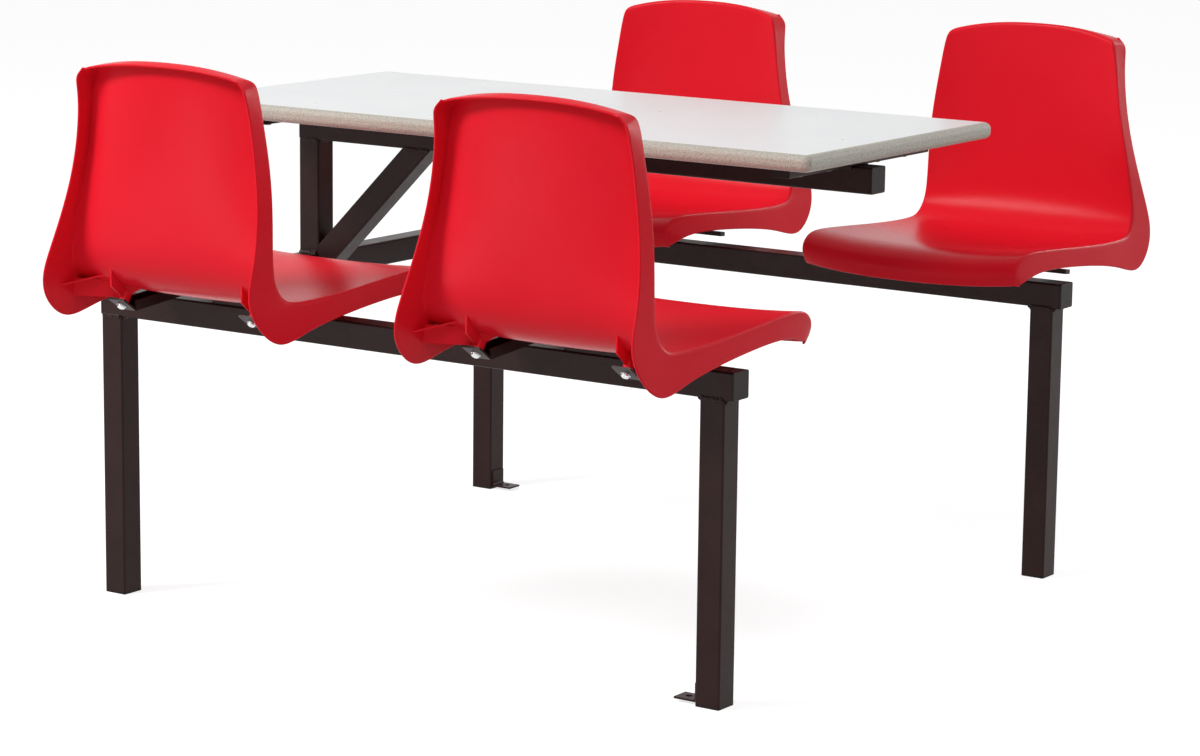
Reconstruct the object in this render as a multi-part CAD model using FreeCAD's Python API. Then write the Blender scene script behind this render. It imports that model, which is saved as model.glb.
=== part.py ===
import FreeCAD, Part
import math
import os
from FreeCAD import Placement, Rotation, Vector

# Canteen table with four swivel seats on one welded steel frame.
# Millimetres.  +X runs along the seat beams towards the open end, +Y from the
# front row of seats to the rear row, +Z up.  The origin is on the floor, under
# the middle of the whole unit.  Every seat faces the table.

os.makedirs("parts", exist_ok=True)

# ---------------------------------------------------------------- dimensions

# square steel tube of the frame, one section throughout
TUBE = 40.0
TUBE_WALL = 2.5
TUBE_CORNER = 3.0
# smaller box section of the two bars under the table top
BAR_WIDTH = 30.0
BAR_HEIGHT = 20.0
BAR_WALL = 2.0
BAR_CORNER = 2.0

# frame layout
BEAM_TOP = 478.0            # floor to the top of the seat beams
BEAM_SPACING = 960.0        # between the centre lines of the two seat beams
LEFT_LEG_X = -539.5
LEG_PITCH = 1095.0          # left legs to right legs, along X
BEAM_LEFT_SETBACK = 3.0     # the left beam ends stop short of the leg's outer face
BEAM_RIGHT_OVERHANG = 10.0  # the right beam ends run past the leg's outer face
BRACE_ANGLE = 45.0

# table top
TABLE_HEIGHT = 750.0
TOP_LENGTH = 1168.0
TOP_WIDTH = 540.0
TOP_THICKNESS = 25.0
TOP_EDGE_RADIUS = 10.0
TOP_PLAN_CORNER = 1.0       # corner of the flat part; the edge's rounding comes on top
LAMINATE = 0.8
EDGE_COAT = 1.2

# bars and screws under the table top
RAIL_OVERHANG = 47.0        # the table's right end runs past the rail's steel
BAR_LENGTH = 400.0
BAR_INSET = 88.0            # each bar's centre line, in from the table's end
SCREW_OFFSETS = (70.0, 150.0)
SCREW_SHANK = 5.0
SCREW_HEAD = 12.0
SCREW_HEAD_HEIGHT = 3.2
SCREW_GRIP = 18.0           # length in the table's core
SCREW_CLEARANCE = 0.25
THREAD_FIT = 0.02           # threads are left plain: screw to its hole, pin to its nut

# moulded end caps and foot inserts
CAP_FLANGE = 4.5
CAP_DEPTH = 16.0
BAR_CAP_FLANGE = 1.5
BAR_CAP_DEPTH = 8.0
INSERT_FIT = 0.1            # cap body to tube wall
INSERT_WALL = 3.0
INSERT_CORNER = 0.5
CAP_EDGE = 1.0

# floor fixing brackets, angle plates on two of the legs
FIX_WIDTH = 30.0
FIX_REACH = 38.0
FIX_RISE = 28.0
FIX_PLATE = 3.0
FIX_HOLE = 10.0
FIX_HOLE_REACH = 22.0

# weld beads
WELD_LEG = 6.0
WELD_CAP_WIDTH = 8.0
WELD_CAP_RISE = 1.6
WELD_BULGE = 0.56           # crown of a corner bead, in leg lengths along both faces

# seats: places and main sizes
SEAT_RIGHT_X = 400.5
SEAT_PITCH = 646.0
SEAT_WIDTH = 410.0          # over the widest part of the rims
SEAT_DEPTH = 468.0          # rear of the rims to the front lip
SEAT_BACK = 389.0           # beam top to the crown of the back
SEAT_WALL = 3.6
SEAT_REAR = 273.0           # swivel axis to the rear of the rims

# swivel under each seat
SWIVEL_PLATE_LENGTH = 180.0
SWIVEL_PLATE_WIDTH = 34.0
SWIVEL_PLATE = 5.0
SWIVEL_RACE = 60.0
SWIVEL_RACE_RISE = 2.5
SWIVEL_GAP = 0.3
SWIVEL_DISC = 5.0
SWIVEL_NECK = 32.0
SWIVEL_PIN = 12.0
SWIVEL_FIT = 0.05
SWIVEL_NUT = 21.0
SWIVEL_NUT_HEIGHT = 6.0

# pressed steel bracket under each seat
BRACKET_TILT = 5.0
BRACKET_PLATE = 3.0
BRACKET_RISE = 21.7         # beam top to the arms' underside, on the swivel axis
CHANNEL_WIDTH = 44.0
CHANNEL_DEPTH = 7.0
TONGUE_REACH = 190.0        # swivel axis to the tip of the tongue, on the sitter's left
TONGUE_WIDTH = 14.0
ARM_SPACING = 248.0
ARM_WIDTH = 30.0
ARM_LIP = 12.0
ARM_REAR = 172.0
ARM_FRONT = 118.0
EAR_ANGLE = 40.0
EAR_LENGTH = 32.0
FRONT_BOLT = 100.0
BOLT_SHANK = 6.0
BOLT_HEAD = 12.0
BOLT_HEAD_HEIGHT = 4.5
BOLT_GRIP = 12.0
HEAD_DOME = 0.72            # rounding of a domed head, in head heights
BOLT_CLEARANCE = 0.3
BOLT_WASHER = 14.0
BOLT_WASHER_THICKNESS = 1.5
BOSS_DIAMETER = 16.0
# moulded webs behind each rear bolt
WEB = 2.5
WEB_RAYS = 8
BOSS_WEB_RISE = 9.0         # the web's free edge above the bracket's ear
FIN_REAR = 208.0            # middle of the fin's free edge, above the boss
FIN_RISE = 47.0
GUSSET_SHARE = 0.593        # of the way from the rear bolts out to the rims
GUSSET_REAR = 222.0
GUSSET_RISE = 52.0

# ------------------------------------------------------------ derived places

BEAM_UNDER = BEAM_TOP - TUBE
FRONT_Y = -BEAM_SPACING / 2
REAR_Y = BEAM_SPACING / 2
RIGHT_LEG_X = LEFT_LEG_X + LEG_PITCH
BEAM_LEFT = LEFT_LEG_X - TUBE / 2 + BEAM_LEFT_SETBACK
BEAM_RIGHT = RIGHT_LEG_X + TUBE / 2 + BEAM_RIGHT_OVERHANG
POST_X = LEFT_LEG_X
POST_RIGHT = POST_X + TUBE / 2
# the table's left end is as far out as the right seats, either side of the origin
TOP_LEFT_X = -(SEAT_RIGHT_X + SEAT_WIDTH / 2)
RAIL_RIGHT_X = TOP_LEFT_X + TOP_LENGTH - RAIL_OVERHANG
TOP_UNDER = TABLE_HEIGHT - TOP_THICKNESS
RAIL_TOP = TOP_UNDER - BAR_HEIGHT
RAIL_UNDER = RAIL_TOP - TUBE
RAIL_LEFT_X = POST_X - TUBE / 2 + CAP_FLANGE    # its cap comes flush with the post
LEFT_BAR_X = TOP_LEFT_X + BAR_INSET
RIGHT_BAR_X = TOP_LEFT_X + TOP_LENGTH - BAR_INSET
FLAT = TUBE - 2 * TUBE_CORNER       # flat part of a tube's face

X_AXIS = Vector(1, 0, 0)
Y_AXIS = Vector(0, 1, 0)
Z_AXIS = Vector(0, 0, 1)


def save(shape, node):
    """Write one node's solids to its STEP file."""
    shape.exportStep("parts/" + node + ".step")


def group(solids):
    return Part.makeCompound(solids)


def put(shape, position, rotation=Rotation()):
    """Turn a shape about the origin, then move it; what it had before still counts."""
    shape.Placement = Placement(position, rotation).multiply(shape.Placement)
    return shape


# ---------------------------------------------------------------- tube stock

def rounded_rectangle(width, height, radius):
    """Closed outline in the XY plane, centred on the origin."""
    x = width / 2
    y = height / 2
    k = radius * (1 - math.sqrt(0.5))
    corners = ((x, y, 1, 1), (-x, y, -1, 1), (-x, -y, -1, -1), (x, -y, 1, -1))
    edges = []
    ends = []
    for cx, cy, sx, sy in corners:
        along_y = Vector(cx, cy - sy * radius, 0)
        along_x = Vector(cx - sx * radius, cy, 0)
        middle = Vector(cx - sx * k, cy - sy * k, 0)
        first, last = (along_y, along_x) if sx * sy > 0 else (along_x, along_y)
        edges.append(Part.Arc(first, middle, last).toShape())
        ends.append((first, last))
    sides = [Part.makeLine(ends[i][1], ends[(i + 1) % 4][0]) for i in range(4)]
    loop = []
    for corner, side in zip(edges, sides):
        loop += [corner, side]
    return Part.Wire(loop)


def bar_stock(width, height, radius, length):
    """Solid bar with rounded corners, from z = 0 upwards."""
    face = Part.Face(rounded_rectangle(width, height, radius))
    return face.extrude(Vector(0, 0, length))


def tube_stock(width, height, wall, radius, length):
    """Hollow box section, from z = 0 upwards."""
    inner = max(radius - wall, INSERT_CORNER)
    outside = bar_stock(width, height, radius, length)
    return outside.cut(bar_stock(width - 2 * wall, height - 2 * wall, inner, length))


def square_tube(length):
    return tube_stock(TUBE, TUBE, TUBE_WALL, TUBE_CORNER, length)


def lay_along_x(shape, start, y, z):
    """Turn stock from +Z to +X; its first side then faces down."""
    return put(shape, Vector(start, y, z), Rotation(Y_AXIS, 90))


def lay_along_y(shape, x, start, z):
    return put(shape, Vector(x, start, z), Rotation(X_AXIS, -90))


def end_cap(width, height, wall, flange, depth, outline_radius):
    """Moulded plug: a flange on z = 0..flange, and a hollow body below it."""
    head = bar_stock(width, height, outline_radius, flange)
    rim = [e for e in head.Edges if e.CenterOfMass.z > flange - 0.01]
    head = head.makeFillet(min(CAP_EDGE, flange / 2), rim)
    body_width = width - 2 * wall - 2 * INSERT_FIT
    body_height = height - 2 * wall - 2 * INSERT_FIT
    body = bar_stock(body_width, body_height, INSERT_CORNER, depth)
    hollow = bar_stock(body_width - 2 * INSERT_WALL, body_height - 2 * INSERT_WALL,
                       INSERT_CORNER, depth)
    body = put(body.cut(hollow), Vector(0, 0, -depth))
    return head.fuse(body).removeSplitter()


def tube_cap():
    return end_cap(TUBE, TUBE, TUBE_WALL, CAP_FLANGE, CAP_DEPTH, TUBE_CORNER)


# ---------------------------------------------------------------- weld beads

def fillet_bead(start, run, side_a, side_b, length, height=WELD_LEG):
    """Bead in the corner of two faces, along run from start.

    side_a and side_b point along the two faces, away from the corner; height is
    how far the bead climbs along side_b.
    """
    a = start + side_a * WELD_LEG
    b = start + side_b * height
    bulge = start + (side_a * WELD_LEG + side_b * height) * WELD_BULGE
    outline = Part.Wire([
        Part.makeLine(start, a),
        Part.Arc(a, bulge, b).toShape(),
        Part.makeLine(b, start),
    ])
    return Part.Face(outline).extrude(run * length)


def cap_bead(start, run, across, outward, length):
    """Low bead over a joint between two flush faces."""
    half = WELD_CAP_WIDTH / 2
    a = start - across * half
    b = start + across * half
    crown = start + outward * WELD_CAP_RISE
    outline = Part.Wire([Part.Arc(a, crown, b).toShape(), Part.makeLine(b, a)])
    return Part.Face(outline).extrude(run * length)


# ---------------------------------------------------------- legs and beams

LEGS = {
    "front_left": (LEFT_LEG_X, FRONT_Y),
    "front_right": (RIGHT_LEG_X, FRONT_Y),
    "rear_left": (LEFT_LEG_X, REAR_Y),
    "rear_right": (RIGHT_LEG_X, REAR_Y),
}

leg_welds = []
for leg_name, (leg_x, leg_y) in LEGS.items():
    leg = put(square_tube(BEAM_UNDER - CAP_FLANGE), Vector(leg_x, leg_y, CAP_FLANGE))
    save(leg, leg_name + "_leg")

    foot = put(tube_cap(), Vector(leg_x, leg_y, CAP_FLANGE), Rotation(X_AXIS, 180))
    save(foot, leg_name + "_foot_insert")

    # the beam runs past the leg on its inner side, and at the right on both sides
    at_left = leg_name.endswith("left")
    for side in ((1,) if at_left else (-1, 1)):
        leg_welds.append(fillet_bead(
            Vector(leg_x + side * TUBE / 2, leg_y - FLAT / 2, BEAM_UNDER),
            Y_AXIS, X_AXIS * side, -Z_AXIS, FLAT))
    outer = -1 if leg_y < 0 else 1
    leg_welds.append(cap_bead(
        Vector(leg_x - FLAT / 2, leg_y + outer * TUBE / 2, BEAM_UNDER),
        X_AXIS, Z_AXIS, Y_AXIS * outer, FLAT))
    inner_start = Vector(leg_x - FLAT / 2, leg_y - outer * TUBE / 2, BEAM_UNDER)
    if at_left:
        # under the cross beam, in the corner with the leg
        leg_welds.append(fillet_bead(inner_start, X_AXIS, Y_AXIS * -outer, -Z_AXIS, FLAT))
    else:
        leg_welds.append(cap_bead(inner_start, X_AXIS, Z_AXIS, Y_AXIS * -outer, FLAT))
save(group(leg_welds), "leg_welds")

for beam_name, beam_y in (("front", FRONT_Y), ("rear", REAR_Y)):
    beam_middle = BEAM_TOP - TUBE / 2
    beam = lay_along_x(square_tube(BEAM_RIGHT - BEAM_LEFT), BEAM_LEFT, beam_y, beam_middle)
    save(beam, beam_name + "_seat_beam")
    for cap_end, end_x, turn in (("left", BEAM_LEFT, -90), ("right", BEAM_RIGHT, 90)):
        cap = put(tube_cap(), Vector(end_x, beam_y, beam_middle), Rotation(Y_AXIS, turn))
        save(cap, beam_name + "_beam_" + cap_end + "_cap")

# the cross beam is butted between the two seat beams, over the left legs
cross_length = BEAM_SPACING - TUBE
cross_beam = lay_along_y(square_tube(cross_length), POST_X, -cross_length / 2, BEAM_TOP - TUBE / 2)
save(cross_beam, "cross_beam")

cross_welds = []
for end in (-1, 1):
    joint_y = end * cross_length / 2
    cross_welds.append(fillet_bead(
        Vector(POST_RIGHT, joint_y, BEAM_TOP - TUBE / 2 - FLAT / 2),
        Z_AXIS, X_AXIS, Y_AXIS * -end, FLAT))
    cross_welds.append(cap_bead(
        Vector(POST_X - FLAT / 2, joint_y, BEAM_TOP), X_AXIS, Y_AXIS, Z_AXIS, FLAT))
save(group(cross_welds), "cross_beam_welds")

# ------------------------------------------------- table post, rail and brace

post = put(square_tube(RAIL_UNDER - BEAM_TOP), Vector(POST_X, 0, BEAM_TOP))
save(post, "table_post")

rail_middle = RAIL_UNDER + TUBE / 2
rail = lay_along_x(square_tube(RAIL_RIGHT_X - RAIL_LEFT_X), RAIL_LEFT_X, 0, rail_middle)
save(rail, "table_rail")
for rail_end, end_x, turn in (("left", RAIL_LEFT_X, -90), ("right", RAIL_RIGHT_X, 90)):
    rail_cap = put(tube_cap(), Vector(end_x, 0, rail_middle), Rotation(Y_AXIS, turn))
    save(rail_cap, "table_rail_" + rail_end + "_cap")

# The brace starts level with the cross beam's underside, on the joint of cross
# beam and post, and climbs to the rail.  Both ends are cut to the faces they meet.
brace_slope = math.radians(BRACE_ANGLE)
brace_centre_z = BEAM_UNDER + TUBE / 2 / math.cos(brace_slope)
brace_run = (RAIL_UNDER - brace_centre_z) / math.tan(brace_slope)
brace_spare = 2 * TUBE
brace = square_tube(brace_run / math.cos(brace_slope) + 2 * brace_spare)
put(brace, Vector(0, 0, -brace_spare))
put(brace, Vector(POST_RIGHT, 0, brace_centre_z), Rotation(Y_AXIS, 90 - BRACE_ANGLE))
brace_room = Part.makeBox(brace_run + 2 * TUBE, TUBE, RAIL_UNDER - BEAM_UNDER + TUBE)
put(brace_room, Vector(POST_RIGHT, -TUBE / 2, BEAM_UNDER - TUBE))
brace = brace.common(brace_room)
save(brace, "table_brace")

support_welds = []
for side in (-1, 1):
    outward = Y_AXIS * side
    support_welds.append(cap_bead(
        Vector(POST_X - FLAT / 2, side * TUBE / 2, RAIL_UNDER), X_AXIS, Z_AXIS, outward, FLAT))
    support_welds.append(fillet_bead(
        Vector(POST_X - FLAT / 2, side * TUBE / 2, BEAM_TOP), X_AXIS, outward, Z_AXIS, FLAT))
    # brace to rail, on the flush faces
    brace_top_x = POST_RIGHT + brace_run
    brace_half = TUBE / 2 / math.sin(brace_slope)
    support_welds.append(cap_bead(
        Vector(brace_top_x - brace_half + TUBE_CORNER, side * TUBE / 2, RAIL_UNDER),
        X_AXIS, Z_AXIS, outward, 2 * brace_half - 2 * TUBE_CORNER))
support_welds.append(fillet_bead(
    Vector(POST_RIGHT, -FLAT / 2, RAIL_UNDER), Y_AXIS, X_AXIS, -Z_AXIS, FLAT))

# ---------------------------------------------------- bars under the table top

BARS = {"left": (LEFT_BAR_X, 1), "right": (RIGHT_BAR_X, -1)}     # centre, way inwards
SCREW_YS = [side * offset for side in (-1, 1) for offset in SCREW_OFFSETS]
bar_caps = []
screws = []
for bar_name, (bar_x, inward) in BARS.items():
    bar = tube_stock(BAR_WIDTH, BAR_HEIGHT, BAR_WALL, BAR_CORNER, BAR_LENGTH)
    bar = lay_along_y(bar, bar_x, -BAR_LENGTH / 2, RAIL_TOP + BAR_HEIGHT / 2)
    for screw_y in SCREW_YS:
        hole = Part.makeCylinder(
            SCREW_SHANK / 2 + SCREW_CLEARANCE, BAR_HEIGHT, Vector(bar_x, screw_y, RAIL_TOP))
        bar = bar.cut(hole)
        shank = Part.makeCylinder(
            SCREW_SHANK / 2, BAR_HEIGHT + SCREW_GRIP, Vector(bar_x, screw_y, RAIL_TOP))
        head = Part.makeCylinder(SCREW_HEAD / 2, SCREW_HEAD_HEIGHT,
                                 Vector(bar_x, screw_y, RAIL_TOP - SCREW_HEAD_HEIGHT))
        lower_rim = [e for e in head.Edges
                     if e.BoundBox.ZMax < RAIL_TOP - SCREW_HEAD_HEIGHT / 2]
        head = head.makeFillet(SCREW_HEAD_HEIGHT * HEAD_DOME, lower_rim)
        screws.append(head.fuse(shank).removeSplitter())
    save(bar, bar_name + "_cross_bar")
    for end, turn in ((-1, 90), (1, -90)):
        bar_cap = end_cap(BAR_WIDTH, BAR_HEIGHT, BAR_WALL, BAR_CAP_FLANGE, BAR_CAP_DEPTH, BAR_CORNER)
        put(bar_cap, Vector(bar_x, end * BAR_LENGTH / 2, RAIL_TOP + BAR_HEIGHT / 2),
            Rotation(X_AXIS, turn))
        bar_caps.append(bar_cap)
        support_welds.append(fillet_bead(
            Vector(bar_x - BAR_WIDTH / 2 + TUBE_CORNER, end * TUBE / 2, RAIL_TOP),
            X_AXIS, Y_AXIS * end, -Z_AXIS, BAR_WIDTH - 2 * TUBE_CORNER))
    support_welds.append(fillet_bead(
        Vector(bar_x + inward * BAR_WIDTH / 2, -FLAT / 2, RAIL_TOP),
        Y_AXIS, X_AXIS * inward, Z_AXIS, FLAT))
save(group(bar_caps), "cross_bar_caps")
save(group(screws), "cross_bar_screws")
save(group(support_welds), "table_support_welds")

# ---------------------------------------------------------------- table top

def edge_shape(length, width, thickness, corner, edge_radius):
    """Slab with rounded plan corners and a rounded edge, from z = 0 upwards."""
    slab = bar_stock(length, width, corner, thickness)
    rims = [e for e in slab.Edges
            if abs(e.CenterOfMass.z - thickness) < 1e-6 or abs(e.CenterOfMass.z) < 1e-6]
    return slab.makeFillet(edge_radius, rims)


top_centre = Vector(TOP_LEFT_X + TOP_LENGTH / 2, 0, TOP_UNDER)
flat_length = TOP_LENGTH - 2 * TOP_EDGE_RADIUS
flat_width = TOP_WIDTH - 2 * TOP_EDGE_RADIUS

envelope = edge_shape(TOP_LENGTH, TOP_WIDTH, TOP_THICKNESS, TOP_PLAN_CORNER + TOP_EDGE_RADIUS,
                      TOP_EDGE_RADIUS)
core_radius = TOP_EDGE_RADIUS - EDGE_COAT
core = edge_shape(TOP_LENGTH - 2 * EDGE_COAT, TOP_WIDTH - 2 * EDGE_COAT,
                  TOP_THICKNESS - 2 * LAMINATE, TOP_PLAN_CORNER + core_radius, core_radius)
put(core, Z_AXIS * LAMINATE)
laminate = bar_stock(flat_length, flat_width, TOP_PLAN_CORNER, LAMINATE)
backing = laminate.copy()
put(laminate, Z_AXIS * (TOP_THICKNESS - LAMINATE))
edge_coat = envelope.cut(core).cut(laminate).cut(backing)

pilot_holes = []
for bar_x in (LEFT_BAR_X, RIGHT_BAR_X):
    for screw_y in SCREW_YS:
        pilot_holes.append(Part.makeCylinder(
            SCREW_SHANK / 2 + THREAD_FIT, SCREW_GRIP + THREAD_FIT,
            Vector(bar_x - top_centre.x, screw_y, 0)))
core = core.cut(group(pilot_holes))
backing = backing.cut(group(pilot_holes))
for shape, node in ((core, "table_top_core"), (laminate, "table_top_laminate"),
                    (backing, "table_top_backing"), (edge_coat, "table_top_edge")):
    save(put(shape, top_centre), node)

# ----------------------------------------------------- floor fixing brackets

def floor_bracket():
    """Angle plate: its upright lies on x = 0, its foot runs towards +X on the floor."""
    foot = Part.makeBox(FIX_REACH, FIX_WIDTH, FIX_PLATE)
    upright = Part.makeBox(FIX_PLATE, FIX_WIDTH, FIX_RISE)
    hole = Part.makeCylinder(FIX_HOLE / 2, FIX_PLATE,
                             Vector(FIX_HOLE_REACH, FIX_WIDTH / 2, 0))
    angle = foot.fuse(upright).removeSplitter()
    inner = [e for e in angle.Edges
             if abs(e.CenterOfMass.x - FIX_PLATE) < 1e-6
             and abs(e.CenterOfMass.z - FIX_PLATE) < 1e-6]
    return put(angle.makeFillet(FIX_PLATE, inner).cut(hole), Vector(0, -FIX_WIDTH / 2, 0))


fix_welds = []
for fix_name, direction in (("front_right", -1), ("rear_left", 1)):
    leg_x, leg_y = LEGS[fix_name]
    face_x = leg_x + direction * TUBE / 2
    turn = 0 if direction > 0 else 180
    bracket = put(floor_bracket(), Vector(face_x, leg_y, CAP_FLANGE), Rotation(Z_AXIS, turn))
    save(bracket, fix_name + "_floor_bracket")
    for side in (-1, 1):
        start = Vector(face_x, leg_y + side * FIX_WIDTH / 2, CAP_FLANGE + FIX_PLATE)
        bead_leg = min(FLAT / 2 - FIX_WIDTH / 2, FIX_PLATE)
        outline = Part.makePolygon([
            start, start + X_AXIS * direction * bead_leg, start + Y_AXIS * side * bead_leg, start])
        fix_welds.append(Part.Face(outline).extrude(Z_AXIS * (FIX_RISE - FIX_PLATE)))
save(group(fix_welds), "floor_bracket_welds")

# ---------------------------------------------------------------- seat shell

# Half of the seat's sitting surface, from the top of the back, down, round the
# bend and out to the front lip.  Distances are shares of SEAT_DEPTH from the
# rearmost rim forwards, shares of SEAT_BACK above the beam's top, and shares of half
# of SEAT_WIDTH across.  Each row is a station: (centre), (crease), (rim).
STATIONS = (
    # the top edge, turned to the rear
    ((0.071, 0.977), (0.662, 0.079, 0.950), (0.705, 0.077, 0.942)),
    ((0.100, 0.990), (0.717, 0.139, 0.943), (0.761, 0.075, 0.920)),
    ((0.105, 0.959), (0.756, 0.149, 0.900), (0.778, 0.079, 0.884)),
    # the back
    ((0.105, 0.828), (0.790, 0.153, 0.797), (0.792, 0.092, 0.802)),
    ((0.109, 0.661), (0.834, 0.158, 0.650), (0.827, 0.095, 0.650)),
    ((0.113, 0.494), (0.883, 0.147, 0.494), (0.876, 0.080, 0.488)),
    ((0.120, 0.352), (0.917, 0.130, 0.344), (0.922, 0.045, 0.334)),
    # the bend from back to seat
    ((0.130, 0.249), (0.937, 0.124, 0.249), (0.941, 0.011, 0.231)),
    ((0.165, 0.162), (0.949, 0.135, 0.190), (0.961, 0.000, 0.149)),
    ((0.220, 0.111), (0.961, 0.165, 0.149), (0.985, 0.032, 0.064)),
    ((0.295, 0.091), (0.966, 0.216, 0.135), (1.000, 0.126, -0.010)),
    # the seat
    ((0.391, 0.093), (0.971, 0.348, 0.135), (0.995, 0.263, 0.026)),
    ((0.519, 0.105), (0.971, 0.498, 0.144), (0.990, 0.455, 0.059)),
    ((0.669, 0.126), (0.966, 0.658, 0.157), (0.980, 0.647, 0.080)),
    ((0.797, 0.141), (0.961, 0.786, 0.166), (0.971, 0.765, 0.084)),
    # the front lip
    ((0.897, 0.145), (0.954, 0.876, 0.168), (0.961, 0.844, 0.077)),
    ((0.970, 0.123), (0.946, 0.942, 0.149), (0.951, 0.904, 0.059)),
    ((1.000, 0.075), (0.934, 0.972, 0.098), (0.939, 0.936, 0.049)),
    ((0.986, 0.023), (0.920, 0.948, 0.045), (0.927, 0.930, 0.038)),
)
# places of the surface's poles, from the centre line to the crease, then to the rim
CROSS_SHARES = (0.0, 0.30, 0.58, 0.80, 0.925, 0.975, 1.0)
RIM_SHARES = (0.20, 0.55, 1.0)
DISH = 2.6                  # how late the section rises towards the crease


def seat_pole_rows():
    """Poles of the sitting surface, row by row, from the left rim to the right."""
    points = seat_points()
    rows = [points[0]]
    for above, row, below in zip(points, points[1:], points[2:]):
        # drawn out by the amount the surface cuts the bends short
        rows.append([p + (p * 2 - a - b) / 6 for a, p, b in zip(above, row, below)])
    return rows + [points[-1]]


def seat_points():
    """Points of the sitting surface at each station."""
    rows = []
    half_width = SEAT_WIDTH / 2
    for centre, crease, rim in STATIONS:
        centre_point = Vector(0, centre[0] * SEAT_DEPTH, centre[1] * SEAT_BACK)
        crease_point = Vector(crease[0] * half_width, crease[1] * SEAT_DEPTH, crease[2] * SEAT_BACK)
        rim_point = Vector(rim[0] * half_width, rim[1] * SEAT_DEPTH, rim[2] * SEAT_BACK)
        half = []
        for share in CROSS_SHARES:
            rise = share ** DISH
            half.append(Vector(
                crease_point.x * share,
                centre_point.y + (crease_point.y - centre_point.y) * rise,
                centre_point.z + (crease_point.z - centre_point.z) * rise))
        for share in RIM_SHARES:
            half.append(crease_point + (rim_point - crease_point) * share)
        mirrored = [Vector(-p.x, p.y, p.z) for p in reversed(half[1:])]
        rows.append([p + Vector(0, -SEAT_REAR, 0) for p in mirrored + half])
    return rows


def offset_poles(rows, distance):
    """Move each pole along the net's own normal, to the under side."""
    moved = []
    last_row = len(rows) - 1
    last_column = len(rows[0]) - 1
    for i, row in enumerate(rows):
        new_row = []
        for j, pole in enumerate(row):
            down = rows[min(i + 1, last_row)][j] - rows[max(i - 1, 0)][j]
            normals = []
            for a, b in ((max(j - 1, 0), j), (j, min(j + 1, last_column))):
                if a != b:
                    normal = (row[b] - row[a]).cross(down)
                    normals.append(normal.normalize())
            mean = normals[0] + normals[-1]
            mean.normalize()
            spread = max(mean.dot(normals[0]), 0.6)
            new_row.append(pole - mean * (distance / spread))
        moved.append(new_row)
    return moved


def clamped_knots(count, degree):
    spans = count - degree
    knots = [float(k) for k in range(spans + 1)]
    mults = [degree + 1] + [1] * (spans - 1) + [degree + 1]
    return mults, knots


def pole_surface(rows):
    surface = Part.BSplineSurface()
    row_mults, row_knots = clamped_knots(len(rows), 3)
    column_mults, column_knots = clamped_knots(len(rows[0]), 3)
    surface.buildFromPolesMultsKnots(
        rows, row_mults, column_mults, row_knots, column_knots, False, False, 3, 3)
    return surface


def outline_runs(rows):
    """The net's four outside runs of poles: both sides, then the top and the lip."""
    return [[row[0] for row in rows], [row[-1] for row in rows], rows[0], rows[-1]]


def rim_outwards(rows):
    """For each outside run, the way out of the surface at each of its poles."""
    inside = [[row[1] for row in rows], [row[-2] for row in rows], rows[1], rows[-2]]
    left, right, first, last = [
        [(outer - inner).normalize() for outer, inner in zip(run, inner_run)]
        for run, inner_run in zip(outline_runs(rows), inside)]
    # the runs share their corner poles, so both take the same way there
    for side, cross_end in ((left, 0), (right, -1)):
        for cross, side_end in ((first, 0), (last, -1)):
            corner = (side[side_end] + cross[cross_end]).normalize()
            side[side_end] = corner
            cross[cross_end] = corner
    return left, right, first, last


def seat_shell():
    """Closed one-piece shell: sitting surface, under side and a half-round rim."""
    top_rows = seat_pole_rows()
    under_rows = offset_poles(top_rows, SEAT_WALL)
    faces = [pole_surface(top_rows).toShape(), pole_surface(under_rows).toShape()]
    # poles two thirds of the wall further out draw a half circle across the rim
    reach = SEAT_WALL * 2 / 3
    for above, below, ways in zip(
            outline_runs(top_rows), outline_runs(under_rows), rim_outwards(top_rows)):
        faces.append(pole_surface([
            above,
            [pole + way * reach for pole, way in zip(above, ways)],
            [pole + way * reach for pole, way in zip(below, ways)],
            below]).toShape())
    shell = Part.makeShell(faces)
    shell.sewShape()
    solid = Part.makeSolid(shell)
    if solid.Volume < 0:
        solid.reverse()
    return solid


def reach_to(solid, start, direction):
    """Distance from start along direction to the solid's first face."""
    ray = Part.makeLine(start, start + direction * SEAT_BACK)
    inside = ray.common(solid)
    return min((v.Point - start).Length for v in inside.Vertexes)


def web(shell, origin, first, second, span):
    """Thin web under the shell: a fan of rays from origin, out to the shell's wall.

    The fan lies in the plane of first and second and opens from first, by way of
    second, through span degrees.
    """
    normal = first.cross(second).normalize()
    across = normal.cross(first)
    outline = [origin]
    for k in range(WEB_RAYS + 1):
        angle = math.radians(span * k / WEB_RAYS)
        along = (first * math.cos(angle) + across * math.sin(angle)).normalize()
        outline.append(origin + along * (reach_to(shell, origin, along) + SEAT_WALL / 2))
    plate = Part.Face(Part.makePolygon(outline + outline[:1])).extrude(normal * WEB)
    return put(plate, normal * (-WEB / 2))


# Each web opens from its free edge's outer half, through so many degrees of wall.
# The gusset stands between the back and the wing.
BOSS_WEB_EDGE = Vector(1, -0.4, 0).normalize()
BOSS_WEB_SPAN = 150.0
FIN_SPAN = 130.0
GUSSET_EDGE = Vector(1, -0.6, -0.3).normalize()
GUSSET_SPAN = 175.0

# ------------------------------------------------------------- seat bracket

BRACKET_PLACE = Placement(Vector(0, 0, BRACKET_RISE), Rotation(X_AXIS, BRACKET_TILT))


def tilted(shape):
    """From the bracket's own level frame to its tilted place over the beam."""
    return put(shape, BRACKET_PLACE.Base, BRACKET_PLACE.Rotation)


EAR_SLOPE = math.radians(EAR_ANGLE)
EAR_ALONG = Vector(0, -math.cos(EAR_SLOPE), math.sin(EAR_SLOPE))
EAR_NORMAL = Vector(0, math.sin(EAR_SLOPE), math.cos(EAR_SLOPE))


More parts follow.
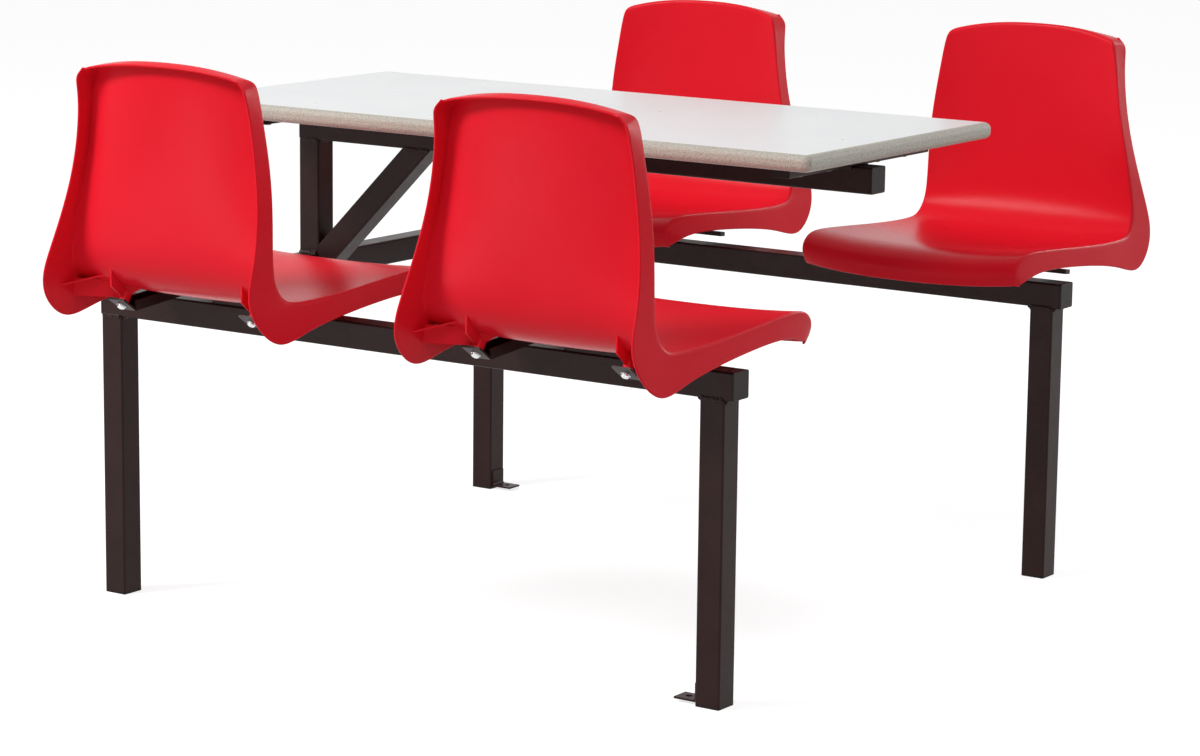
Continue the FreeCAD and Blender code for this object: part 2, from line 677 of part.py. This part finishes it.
def bracket_bolt_places():
    """Each bolt's place on the plate's underside and its direction, level frame."""
    places = []
    for side in (-1, 1):
        x = side * ARM_SPACING / 2
        ear_start = Vector(x, -ARM_REAR, 0)
        places.append((ear_start + EAR_ALONG * (EAR_LENGTH / 2), EAR_NORMAL))
        places.append((Vector(x, FRONT_BOLT, 0), Vector(0, 0, 1)))
    return places


def bracket_arm(x):
    """One pressed arm: a channel open upwards, its rear end bent up as an ear."""
    half_bend = math.tan(EAR_SLOPE / 2) * BRACKET_PLATE
    ear_end = Vector(0, -ARM_REAR, 0) + EAR_ALONG * EAR_LENGTH
    profile = [
        Vector(0, ARM_FRONT, 0), Vector(0, -ARM_REAR, 0), ear_end,
        ear_end + EAR_NORMAL * BRACKET_PLATE,
        Vector(0, -ARM_REAR + half_bend, BRACKET_PLATE), Vector(0, ARM_FRONT, BRACKET_PLATE)]
    outline = Part.makePolygon(profile + profile[:1])
    arm = put(Part.Face(outline).extrude(X_AXIS * ARM_WIDTH), X_AXIS * (-ARM_WIDTH / 2))
    lip_length = ARM_REAR - half_bend + ARM_FRONT
    for side in (-1, 1):
        lip = Part.makeBox(BRACKET_PLATE, lip_length, ARM_LIP)
        put(lip, Vector(side * (ARM_WIDTH - BRACKET_PLATE) / 2 - BRACKET_PLATE / 2,
                        -ARM_REAR + half_bend, BRACKET_PLATE))
        arm = arm.fuse(lip)
    return put(arm.removeSplitter(), X_AXIS * x)


def cross_channel():
    """Channel across the beam, open downwards, that joins the arms, and its tongue."""
    length = ARM_SPACING + ARM_WIDTH
    block = Part.makeBox(length, CHANNEL_WIDTH, CHANNEL_DEPTH)
    groove = Part.makeBox(length, CHANNEL_WIDTH - 2 * BRACKET_PLATE, CHANNEL_DEPTH - BRACKET_PLATE)
    put(groove, Vector(0, BRACKET_PLATE, 0))
    channel = put(block.cut(groove), Vector(-length / 2, -CHANNEL_WIDTH / 2, -CHANNEL_DEPTH))
    tongue = Part.makeBox(TONGUE_REACH - length / 2 + CHANNEL_WIDTH, TONGUE_WIDTH, CHANNEL_DEPTH)
    put(tongue, Vector(-TONGUE_REACH, -TONGUE_WIDTH / 2, -CHANNEL_DEPTH))
    return channel.fuse(tongue).removeSplitter()


def seat_bracket():
    arms = [bracket_arm(side * ARM_SPACING / 2) for side in (-1, 1)]
    for place, direction in bracket_bolt_places():
        hole = Part.makeCylinder(BOLT_SHANK / 2 + BOLT_CLEARANCE, 4 * BRACKET_PLATE,
                                 place - direction * BRACKET_PLATE, direction)
        arms = [arm.cut(hole) for arm in arms]
    pieces = [tilted(arm) for arm in arms]
    pin_hole = Part.makeCylinder(SWIVEL_PIN / 2 + BOLT_CLEARANCE, BRACKET_RISE * 2)
    pieces.append(tilted(cross_channel()).cut(pin_hole))
    return group(pieces)


def seat_bolts():
    """Four domed bolts with their shanks in the shell's bosses."""
    bolts = []
    washers = []
    for place, direction in bracket_bolt_places():
        head_seat = place - direction * BOLT_WASHER_THICKNESS
        head = Part.makeCylinder(BOLT_HEAD / 2, BOLT_HEAD_HEIGHT, Vector(0, 0, -BOLT_HEAD_HEIGHT))
        rim = [e for e in head.Edges if e.BoundBox.ZMax < -BOLT_HEAD_HEIGHT / 2]
        head = head.makeFillet(BOLT_HEAD_HEIGHT * HEAD_DOME, rim)
        shank = Part.makeCylinder(
            BOLT_SHANK / 2, BOLT_WASHER_THICKNESS + BRACKET_PLATE + BOLT_GRIP)
        bolt = head.fuse(shank).removeSplitter()
        lie = Rotation(Z_AXIS, direction)
        bolts.append(tilted(put(bolt, head_seat, lie)))
        washer = Part.makeCylinder(BOLT_WASHER / 2, BOLT_WASHER_THICKNESS)
        bore = Part.makeCylinder(BOLT_SHANK / 2 + BOLT_CLEARANCE, BOLT_WASHER_THICKNESS)
        washers.append(tilted(put(washer.cut(bore), head_seat, lie)))
    return group(bolts), group(washers)


def shell_with_bosses():
    """Shell with a moulded boss over each bolt, down to the bracket, and rear webs."""
    shell = seat_shell()
    holes = []
    solid = shell
    for place, direction in bracket_bolt_places():
        start = BRACKET_PLACE.multVec(place + direction * BRACKET_PLATE)
        along = BRACKET_PLACE.Rotation.multVec(direction)
        reach = reach_to(shell, start, along) + SEAT_WALL / 2
        solid = solid.fuse(Part.makeCylinder(BOSS_DIAMETER / 2, reach, start, along))
        holes.append(Part.makeCylinder(BOLT_SHANK / 2, BOLT_GRIP, start, along))
    # webs on the right side, then the same mirrored
    ear_place, ear_way = bracket_bolt_places()[2]
    boss_point = BRACKET_PLACE.multVec(ear_place + ear_way * (BRACKET_PLATE + BOSS_WEB_RISE))
    boss_web = web(shell, boss_point, BOSS_WEB_EDGE, Z_AXIS, BOSS_WEB_SPAN)
    fin = web(solid, Vector(ARM_SPACING / 2, -FIN_REAR, FIN_RISE), Z_AXIS, Y_AXIS, FIN_SPAN)
    gusset_x = ARM_SPACING / 2 + (SEAT_WIDTH - ARM_SPACING) / 2 * GUSSET_SHARE
    gusset = web(shell, Vector(gusset_x, -GUSSET_REAR, GUSSET_RISE),
                 GUSSET_EDGE, Y_AXIS, GUSSET_SPAN)
    for rib in (boss_web, fin, gusset):
        solid = solid.fuse(rib).fuse(rib.mirror(Vector(), X_AXIS))
    for hole in holes:
        solid = solid.cut(hole)
    return solid


# ------------------------------------------------------------------- swivel

def swivel_base():
    """Plate welded along the beam, with a raised race and the fixed pivot pin."""
    plate = Part.makeBox(SWIVEL_PLATE_LENGTH, SWIVEL_PLATE_WIDTH, SWIVEL_PLATE)
    put(plate, Vector(-SWIVEL_PLATE_LENGTH / 2, -SWIVEL_PLATE_WIDTH / 2, 0))
    race = Part.makeCylinder(SWIVEL_RACE / 2, SWIVEL_RACE_RISE, Z_AXIS * SWIVEL_PLATE)
    pin_height = nut_bottom() + SWIVEL_NUT_HEIGHT - SWIVEL_PLATE
    pin = Part.makeCylinder(SWIVEL_PIN / 2, pin_height, Z_AXIS * SWIVEL_PLATE)
    return plate.fuse(race).fuse(pin).removeSplitter()


def head_bottom():
    return SWIVEL_PLATE + SWIVEL_RACE_RISE + SWIVEL_GAP


def nut_bottom():
    """The nut clears the tilted channel under its whole width."""
    tilt_rise = SWIVEL_NUT / 2 * math.tan(math.radians(BRACKET_TILT))
    return BRACKET_RISE + tilt_rise + SWIVEL_GAP


def swivel_head():
    """Turning disc and neck; the neck is cut to the tilt of the channel it carries."""
    disc = Part.makeCylinder(SWIVEL_RACE / 2, SWIVEL_DISC, Vector(0, 0, head_bottom()))
    neck = Part.makeCylinder(SWIVEL_NECK / 2, BRACKET_RISE, Vector(0, 0, head_bottom()))
    above = Part.makeBox(2 * SWIVEL_NECK, 2 * SWIVEL_NECK, 2 * BRACKET_RISE)
    put(above, Vector(-SWIVEL_NECK, -SWIVEL_NECK, -BRACKET_PLATE))
    head = disc.fuse(neck.cut(tilted(above))).removeSplitter()
    bore = Part.makeCylinder(SWIVEL_PIN / 2 + SWIVEL_FIT, 2 * BRACKET_RISE)
    return head.cut(bore)


def swivel_nut():
    corner_radius = SWIVEL_NUT / 2
    points = [Vector(corner_radius * math.cos(math.radians(60 * k)),
                     corner_radius * math.sin(math.radians(60 * k)), 0) for k in range(7)]
    nut = Part.Face(Part.makePolygon(points)).extrude(Z_AXIS * SWIVEL_NUT_HEIGHT)
    nut = nut.cut(Part.makeCylinder(SWIVEL_PIN / 2 + THREAD_FIT, SWIVEL_NUT_HEIGHT))
    return put(nut, Z_AXIS * nut_bottom())


# -------------------------------------------------------------- four seats

SEATS = {
    "front_left": (SEAT_RIGHT_X - SEAT_PITCH, FRONT_Y, 0),
    "front_right": (SEAT_RIGHT_X, FRONT_Y, 0),
    "rear_left": (SEAT_RIGHT_X - SEAT_PITCH, REAR_Y, 180),
    "rear_right": (SEAT_RIGHT_X, REAR_Y, 180),
}

bolts_of_seat, washers_of_seat = seat_bolts()
pieces_of_seat = {
    "seat_shell": shell_with_bosses(),
    "seat_bracket": seat_bracket(),
    "seat_bolts": bolts_of_seat,
    "seat_washers": washers_of_seat,
    "swivel_head": swivel_head(),
    "swivel_base": swivel_base(),
}

nuts = []
mount_welds = []
for seat_name, (seat_x, seat_y, seat_turn) in SEATS.items():
    seat_place = Vector(seat_x, seat_y, BEAM_TOP)
    facing = Rotation(Z_AXIS, seat_turn)
    for piece_name, piece in pieces_of_seat.items():
        save(put(piece.copy(), seat_place, facing), seat_name + "_" + piece_name)
    nuts.append(put(swivel_nut(), seat_place, facing))
    for end in (-1, 1):
        mount_welds.append(fillet_bead(
            Vector(seat_x + end * SWIVEL_PLATE_LENGTH / 2, seat_y - SWIVEL_PLATE_WIDTH / 2, BEAM_TOP),
            Y_AXIS, X_AXIS * end, Z_AXIS, SWIVEL_PLATE_WIDTH, SWIVEL_PLATE))
save(group(nuts), "swivel_nuts")
save(group(mount_welds), "swivel_base_welds")
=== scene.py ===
import math

import bpy
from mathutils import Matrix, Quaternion, Vector


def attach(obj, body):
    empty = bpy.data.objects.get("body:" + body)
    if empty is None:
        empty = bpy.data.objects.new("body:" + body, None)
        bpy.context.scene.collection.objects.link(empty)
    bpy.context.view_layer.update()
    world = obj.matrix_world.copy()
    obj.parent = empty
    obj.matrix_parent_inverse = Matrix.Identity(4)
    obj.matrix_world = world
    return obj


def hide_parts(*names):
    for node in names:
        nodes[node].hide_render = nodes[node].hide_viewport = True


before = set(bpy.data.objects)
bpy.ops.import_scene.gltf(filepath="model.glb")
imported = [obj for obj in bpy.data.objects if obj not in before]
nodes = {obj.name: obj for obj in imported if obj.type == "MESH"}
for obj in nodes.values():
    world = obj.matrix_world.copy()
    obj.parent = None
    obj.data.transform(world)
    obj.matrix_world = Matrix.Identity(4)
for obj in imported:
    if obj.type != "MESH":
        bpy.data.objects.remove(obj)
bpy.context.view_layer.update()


# ---------------------------------------------------------------- camera
# The unit is seen from the open end, a little above table height, through a
# long lens from about six metres away.
camera_data = bpy.data.cameras.new("camera")
camera_data.sensor_width = 36.0
camera_data.lens = 109.2
camera_data.clip_end = 200.0
camera = bpy.data.objects.new("camera", camera_data)
camera.location = (3.188, -4.6153, 1.385)
camera.rotation_euler = [math.radians(a) for a in (79.338, -0.650, 34.525)]
bpy.context.scene.collection.objects.link(camera)
bpy.context.scene.camera = camera


# ---------------------------------------------------------- studio and floor
# A plain white studio: soft lamps high on the left, on the right and overhead, a low
# one in front, and a slanting strip behind that draws the seats' creases.  Even light
# comes from all round, and the white floor takes a soft shadow.
bpy.context.scene.view_settings.view_transform = "Standard"
ROOM_STRENGTH = 0.40
FLOOR_WHITE = 0.55
FLOOR_GLOW = 0.74
FLOOR_SIZE = 160


def soft_lamp(name, place, aim, size, watts, roll=0):
    """Rectangular soft lamp at a place, turned towards a point and rolled by some degrees."""
    lamp = bpy.data.lights.new(name, "AREA")
    lamp.shape = "RECTANGLE"
    lamp.size, lamp.size_y = size
    lamp.energy = watts
    lamp_object = bpy.data.objects.new(name, lamp)
    lamp_object.location = place
    turn = (Vector(aim) - Vector(place)).to_track_quat("-Z", "Y")
    lamp_object.rotation_euler = (turn @ Quaternion((0, 0, 1), math.radians(roll))).to_euler()
    bpy.context.scene.collection.objects.link(lamp_object)


soft_lamp("key_lamp", (-2.6, -3.4, 3.6), aim=(0, 0, 0.5), size=(1.5, 1.2), watts=170)
soft_lamp("right_lamp", (2.4, -3.6, 4.2), aim=(0.2, 0, 0.5), size=(1.4, 1.4), watts=32)
soft_lamp("overhead_lamp", (0.2, 0.2, 4.3), aim=(0.2, 0.2, 0), size=(1.2, 1.2), watts=8)
soft_lamp("low_lamp", (-1.7, -3.1, 0.2), aim=(0, -0.7, 0.6), size=(0.6, 0.3), watts=4)
soft_lamp("back_lamp", (1.85, 4.1, 1.75), aim=(0.3, 0.3, 0.5), size=(2.1, 0.33), watts=40, roll=47)


def where_seen(tree):
    """1 where the camera, a reflection or a view through glass meets the background."""
    path = tree.nodes.new("ShaderNodeLightPath")
    seen = path.outputs["Is Camera Ray"]
    for ray in ("Is Glossy Ray", "Is Transmission Ray"):
        either = tree.nodes.new("ShaderNodeMath")
        either.operation = "MAXIMUM"
        tree.links.new(seen, either.inputs[0])
        tree.links.new(path.outputs[ray], either.inputs[1])
        seen = either.outputs[0]
    return seen


world = bpy.data.worlds.new("studio")
bpy.context.scene.world = world
world.use_nodes = True
room = world.node_tree
room.nodes.clear()
world_out = room.nodes.new("ShaderNodeOutputWorld")
room_light = room.nodes.new("ShaderNodeBackground")
room_light.inputs["Strength"].default_value = ROOM_STRENGTH
backdrop = room.nodes.new("ShaderNodeBackground")
for background in (room_light, backdrop):
    background.inputs["Color"].default_value = (1, 1, 1, 1)
choose = room.nodes.new("ShaderNodeMixShader")
room.links.new(where_seen(room), choose.inputs[0])
room.links.new(room_light.outputs[0], choose.inputs[1])
room.links.new(backdrop.outputs[0], choose.inputs[2])
room.links.new(choose.outputs[0], world_out.inputs["Surface"])

bpy.ops.object.select_all(action="DESELECT")
bpy.ops.mesh.primitive_plane_add(size=FLOOR_SIZE)
floor = bpy.context.object
floor.name = "studio_floor"
floor_finish = bpy.data.materials.new("white_floor")
floor_finish.use_nodes = True
floor_tree = floor_finish.node_tree
floor_tree.nodes.clear()
floor_out = floor_tree.nodes.new("ShaderNodeOutputMaterial")
matt_white = floor_tree.nodes.new("ShaderNodeBsdfDiffuse")
matt_white.inputs["Color"].default_value = (FLOOR_WHITE, FLOOR_WHITE, FLOOR_WHITE, 1)
glow = floor_tree.nodes.new("ShaderNodeEmission")
glow.inputs["Color"].default_value = (1, 1, 1, 1)
glow_amount = floor_tree.nodes.new("ShaderNodeMath")
glow_amount.operation = "MULTIPLY"
glow_amount.inputs[1].default_value = FLOOR_GLOW
floor_tree.links.new(where_seen(floor_tree), glow_amount.inputs[0])
floor_tree.links.new(glow_amount.outputs[0], glow.inputs["Strength"])
lit_and_glowing = floor_tree.nodes.new("ShaderNodeAddShader")
floor_tree.links.new(matt_white.outputs[0], lit_and_glowing.inputs[0])
floor_tree.links.new(glow.outputs[0], lit_and_glowing.inputs[1])
floor_tree.links.new(lit_and_glowing.outputs[0], floor_out.inputs["Surface"])
floor.data.materials.append(floor_finish)


# ------------------------------------------------------------ steel frame
# Square steel tube for the legs, seat beams, cross beam, post, rail and brace, and a
# flatter tube for the bars.  It is welded up, then coated with the seat brackets and
# the swivels in one satin brown-black powder with a fine orange peel.
def finish_for(name, colour, rough, specular):
    """A material with one principled shader; returns it with its tree and its shader."""
    finish = bpy.data.materials.new(name)
    finish.use_nodes = True
    tree = finish.node_tree
    shader = tree.nodes["Principled BSDF"]
    shader.inputs["Base Color"].default_value = (*colour, 1)
    shader.inputs["Roughness"].default_value = rough
    shader.inputs["Specular IOR Level"].default_value = specular
    return finish, tree, shader


def texture(tree, kind, scale, output, **settings):
    """One output of a texture node on Object coordinates, in cycles per metre."""
    made = tree.nodes.new("ShaderNodeTex" + kind)
    made.inputs["Scale"].default_value = scale
    for socket, value in settings.items():
        made.inputs[socket].default_value = value
    coordinates = tree.nodes.new("ShaderNodeTexCoord")
    tree.links.new(coordinates.outputs["Object"], made.inputs["Vector"])
    return made.outputs[output]


def coloured(tree, shader, factor, stops):
    """Base colour from a colour ramp over a factor: stops are (place, colour)."""
    ramp = tree.nodes.new("ShaderNodeValToRGB")
    while len(ramp.color_ramp.elements) < len(stops):
        ramp.color_ramp.elements.new(0.5)
    for element, (place, colour) in zip(ramp.color_ramp.elements, stops):
        element.position = place
        element.color = (*colour, 1)
    tree.links.new(factor, ramp.inputs["Fac"])
    tree.links.new(ramp.outputs["Color"], shader.inputs["Base Color"])


def rubbed(tree, shader, factor, smooth, rough):
    """Roughness that wanders between two values with a factor of 0 to 1."""
    span = tree.nodes.new("ShaderNodeMapRange")
    span.inputs["To Min"].default_value = smooth
    span.inputs["To Max"].default_value = rough
    tree.links.new(factor, span.inputs["Value"])
    tree.links.new(span.outputs["Result"], shader.inputs["Roughness"])


def raised(tree, shader, height, distance, strength, under=None):
    """Bump from a height, over another bump if one is given."""
    bump = tree.nodes.new("ShaderNodeBump")
    bump.inputs["Distance"].default_value = distance
    bump.inputs["Strength"].default_value = strength
    tree.links.new(height, bump.inputs["Height"])
    if under:
        tree.links.new(under.outputs["Normal"], bump.inputs["Normal"])
    tree.links.new(bump.outputs["Normal"], shader.inputs["Normal"])
    return bump


def dress(node_name, finish):
    """Gives a CAD node one finish all over."""
    node_materials = nodes[node_name].data.materials
    node_materials.clear()
    node_materials.append(finish)


def powder_coating(name, rough, peel_strength):
    """Satin brown-black powder, its tone a little uneven, with its orange peel."""
    coat, tree, shader = finish_for(name, (0.025, 0.0095, 0.0085), rough, specular=0.14)
    tone = texture(tree, "Noise", 14.0, "Fac", Detail=5.0, Roughness=0.6)
    coloured(tree, shader, tone, (
        (0.30, (0.021, 0.0075, 0.0066)), (0.70, (0.031, 0.0125, 0.0112))))
    rub = texture(tree, "Noise", 35.0, "Fac", Detail=4.0, Roughness=0.65)
    rubbed(tree, shader, rub, rough - 0.10, rough + 0.10)
    flow = texture(tree, "Noise", 260.0, "Fac", Detail=1.0)
    ripple = raised(tree, shader, flow, distance=0.0006, strength=0.25)
    peel = texture(tree, "Noise", 1100.0, "Fac", Detail=2.0)
    raised(tree, shader, peel, distance=0.0003, strength=peel_strength, under=ripple)
    return coat


powder_coat = powder_coating("frame_powder_coat", rough=0.36, peel_strength=0.35)
for node_name in nodes:
    if any(word in node_name for word in (
            "_leg", "beam", "table_post", "table_rail", "brace", "cross_bar", "floor_bracket",
            "seat_bracket", "swivel_head", "swivel_base")):
        dress(node_name, powder_coat)


# ------------------------------------------------------------- weld beads
# Hand-laid beads at every joint of the frame and at the swivel bases, lumpy and
# uneven.  The same powder lies thin and a little glossier over their ripples.
LUMP_SIZE = 0.0032
LUMP_HEIGHT = 0.0024
BEAD_CELL = 0.0009
MERGE_DISTANCE = 0.00002

bead_coat = powder_coating("bead_powder_coat", rough=0.30, peel_strength=0.6)
bead_lumps = bpy.data.textures.new("bead_lumps", "CLOUDS")
bead_lumps.noise_scale = LUMP_SIZE
bead_lumps.noise_depth = 1


def merged_copy(node_name, piece_name):
    """A node's mesh as a piece of its own, its loose triangles joined into one skin."""
    bpy.ops.object.select_all(action="DESELECT")
    piece = bpy.data.objects.new(piece_name, nodes[node_name].data.copy())
    bpy.context.scene.collection.objects.link(piece)
    bpy.context.view_layer.objects.active = piece
    piece.select_set(True)
    bpy.ops.mesh.customdata_custom_splitnormals_clear()
    bpy.ops.object.mode_set(mode="EDIT")
    bpy.ops.mesh.select_all(action="SELECT")
    bpy.ops.mesh.remove_doubles(threshold=MERGE_DISTANCE)
    bpy.ops.mesh.normals_make_consistent(inside=False)
    bpy.ops.object.mode_set(mode="OBJECT")
    return piece


for node_name in ("leg_welds", "cross_beam_welds", "table_support_welds", "floor_bracket_welds",
                  "swivel_base_welds"):
    bead = merged_copy(node_name, node_name + "_rippled")
    bead.data.remesh_voxel_size = BEAD_CELL
    bpy.ops.object.voxel_remesh()
    lumps = bead.modifiers.new("lumps", "DISPLACE")
    lumps.texture = bead_lumps
    lumps.texture_coords = "LOCAL"
    lumps.strength = LUMP_HEIGHT
    lumps.mid_level = 0.55
    bpy.ops.object.modifier_apply(modifier="lumps")
    bpy.ops.object.shade_smooth()
    bead.data.materials.clear()
    bead.data.materials.append(bead_coat)
    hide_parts(node_name)
    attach(bead, "frame")


# ---------------------------------------------------------- moulded end caps
# Black polypropylene plugs in the ends of the tubes, with a fine spark grain.
# They are pressed in after the coating.
cap_plastic, tree, shader = finish_for("cap_plastic", (0.018, 0.0108, 0.0098), rough=0.40, specular=0.13)
spark_grain = texture(tree, "Noise", 1500.0, "Fac", Detail=3.0)
raised(tree, shader, spark_grain, distance=0.0003, strength=0.4)
for node_name in nodes:
    if "_cap" in node_name or "foot_insert" in node_name:
        dress(node_name, cap_plastic)


# --------------------------------------------------------------- table top
# White laminate on both faces of a chipboard core.  The rounded edge is sprayed
# with a thick stippled coat of pale stone-grey grains.
laminate, tree, shader = finish_for("white_laminate", (0.78, 0.79, 0.80), rough=0.30, specular=0.45)
cloud = texture(tree, "Noise", 7.0, "Fac", Detail=4.0)
coloured(tree, shader, cloud, ((0.30, (0.765, 0.780, 0.792)), (0.70, (0.800, 0.808, 0.812))))
wiped = texture(tree, "Noise", 17.0, "Fac", Detail=5.0)
rubbed(tree, shader, wiped, smooth=0.24, rough=0.36)
press_grain = texture(tree, "Noise", 310.0, "Fac", Detail=2.0)
raised(tree, shader, press_grain, distance=0.00006, strength=0.2)
dress("table_top_laminate", laminate)
dress("table_top_backing", laminate)

edge_coat, tree, shader = finish_for("stippled_edge", (0.50, 0.47, 0.40), rough=0.42, specular=0.5)
grains = texture(tree, "Voronoi", 620.0, "Distance", Randomness=1.0)
coloured(tree, shader, grains, (
    (0.10, (0.62, 0.60, 0.53)), (0.55, (0.47, 0.44, 0.37)), (0.85, (0.33, 0.30, 0.25))))
spatter = texture(tree, "Noise", 240.0, "Fac", Detail=3.0)
coarse = raised(tree, shader, spatter, distance=0.0012, strength=0.6)
raised(tree, shader, grains, distance=-0.0007, strength=0.8, under=coarse)
dress("table_top_edge", edge_coat)

core_board, tree, shader = finish_for("core_board", (0.42, 0.31, 0.19), rough=0.8, specular=0.2)
chips = texture(tree, "Voronoi", 260.0, "Distance", Randomness=1.0)
coloured(tree, shader, chips, ((0.1, (0.50, 0.38, 0.24)), (0.9, (0.30, 0.21, 0.12))))
dress("table_top_core", core_board)


# ------------------------------------------------------------- screws and nuts
# Blackened screws with domed heads go up through the bars into the board.  The
# seats' bolts and washers and the nuts on the swivel pins are bright zinc plated.
screw_steel, tree, shader = finish_for("blackened_screw", (0.09, 0.085, 0.08), rough=0.28, specular=0.5)
shader.inputs["Metallic"].default_value = 0.85
scale_marks = texture(tree, "Noise", 700.0, "Fac", Detail=2.0)
raised(tree, shader, scale_marks, distance=0.0002, strength=0.3)
dress("cross_bar_screws", screw_steel)

bright_zinc, tree, shader = finish_for("bright_zinc", (0.68, 0.69, 0.69), rough=0.24, specular=0.5)
shader.inputs["Metallic"].default_value = 1.0
haze = texture(tree, "Noise", 180.0, "Fac", Detail=4.0)
rubbed(tree, shader, haze, smooth=0.16, rough=0.34)
plating = texture(tree, "Noise", 900.0, "Fac", Detail=2.0)
raised(tree, shader, plating, distance=0.0002, strength=0.25)
for node_name in nodes:
    if any(word in node_name for word in ("seat_bolts", "seat_washers", "swivel_nuts")):
        dress(node_name, bright_zinc)


# ---------------------------------------------------------------- seat shells
# One-piece shells injection moulded in red polypropylene, 3.6 mm thick, with
# rounded rims and a very fine leather grain on both sides.
seat_plastic, tree, shader = finish_for("seat_plastic", (0.80, 0.012, 0.026), rough=0.26, specular=0.065)
tone = texture(tree, "Noise", 5.0, "Fac", Detail=3.0)
coloured(tree, shader, tone, ((0.30, (0.775, 0.0105, 0.023)), (0.70, (0.82, 0.0135, 0.029))))
use = texture(tree, "Noise", 60.0, "Fac", Detail=6.0, Roughness=0.7)
rubbed(tree, shader, use, smooth=0.21, rough=0.30)
leather = texture(tree, "Noise", 420.0, "Fac", Detail=3.0)
skin = raised(tree, shader, leather, distance=0.0004, strength=0.22)
pores = texture(tree, "Voronoi", 1300.0, "Distance")
raised(tree, shader, pores, distance=0.00015, strength=0.3, under=skin)
for node_name in nodes:
    if node_name.endswith("seat_shell"):
        dress(node_name, seat_plastic)
